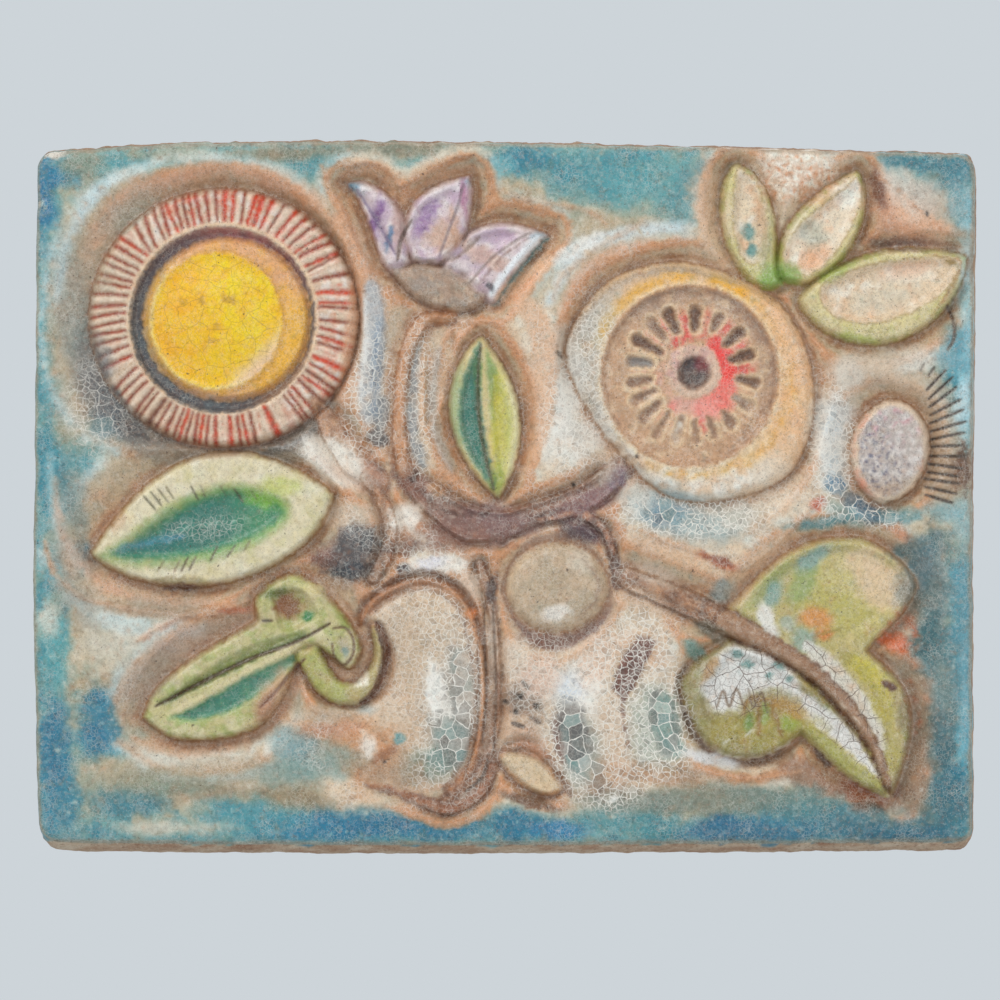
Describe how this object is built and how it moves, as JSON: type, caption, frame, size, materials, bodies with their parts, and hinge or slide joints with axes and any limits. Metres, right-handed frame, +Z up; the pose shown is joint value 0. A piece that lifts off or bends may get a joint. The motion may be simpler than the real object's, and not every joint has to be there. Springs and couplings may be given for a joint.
{
  "type": "decorative wall plaque",
  "caption": "Rectangular fired-clay slab with a carved and glazed relief of flowers and leaves on branching stems, plain back with two blind hanging sockets.",
  "frame": {"origin": "middle of the flat back, where it lies on the wall", "axes": "+Z up, +X along the width to the right as seen from the front, +Y out of the back into the wall; the carved face looks along -Y"},
  "size_m": [0.4008, 0.023, 0.3032],
  "materials": {
    "glazed_clay": "satin crackled glaze in teal, cream, ochre and rust over bare buff clay"
  },
  "bodies": {
    "root": {"plaque": "glazed_clay"}
  },
  "joints": []
}
